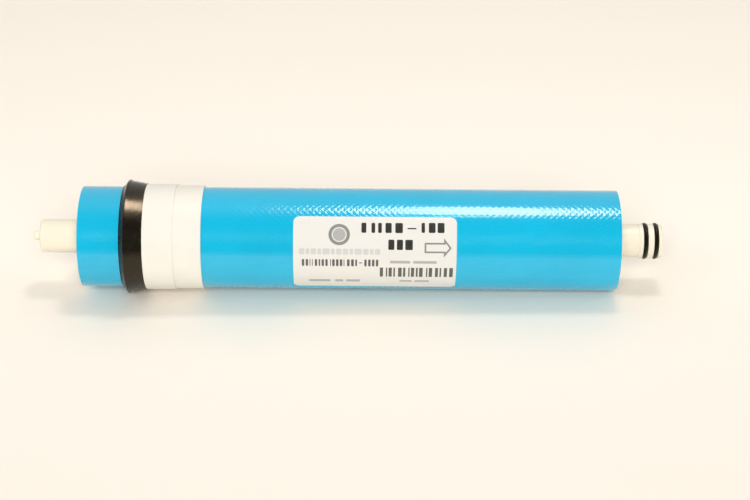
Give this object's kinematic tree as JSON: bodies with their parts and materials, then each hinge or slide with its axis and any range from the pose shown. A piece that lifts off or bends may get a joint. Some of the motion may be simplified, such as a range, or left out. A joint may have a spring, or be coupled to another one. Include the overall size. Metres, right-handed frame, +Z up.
{
  "type": "spiral wound ro membrane element",
  "caption": "Spiral wound water filter element: a cyan wrapped roll round a plastic tube, with a brine seal at the feed end and ring seals on the outlet spigot.",
  "frame": {"origin": "on the tube's axis, in the middle of the whole length over the plug's nib and the outlet end", "axes": "+X along the permeate tube towards the outlet spigot, +Z up, -Y towards the side that carries the label"},
  "size_m": [0.3, 0.0544, 0.0544],
  "materials": {
    "natural_plastic": "moulded natural plastic, slightly translucent",
    "black_rubber": "smooth black rubber with a soft sheen",
    "carrier_cloth": "woven polyester cloth",
    "membrane_sheet": "smooth white membrane sheet",
    "spacer_net": "extruded polypropylene net",
    "cyan_wrap": "glossy cyan tape with the net pressed through",
    "white_tape": "white vinyl tape",
    "label_stock": "coated white label stock"
  },
  "bodies": {
    "root": {"permeate_tube": "natural_plastic", "feed_end_plug": "natural_plastic", "o_ring_inboard": "black_rubber", "o_ring_outboard": "black_rubber", "core_wrap": "carrier_cloth", "permeate_carrier_1": "carrier_cloth", "permeate_carrier_2": "carrier_cloth", "membrane_leaf_1": "membrane_sheet", "membrane_leaf_2": "membrane_sheet", "feed_spacer_1": "spacer_net", "feed_spacer_2": "spacer_net", "outer_net_turn": "spacer_net", "outer_wrap": "cyan_wrap", "brine_seal": "black_rubber", "seal_tape": "white_tape", "seal_tape_top": "white_tape", "label": "label_stock"}
  },
  "joints": []
}
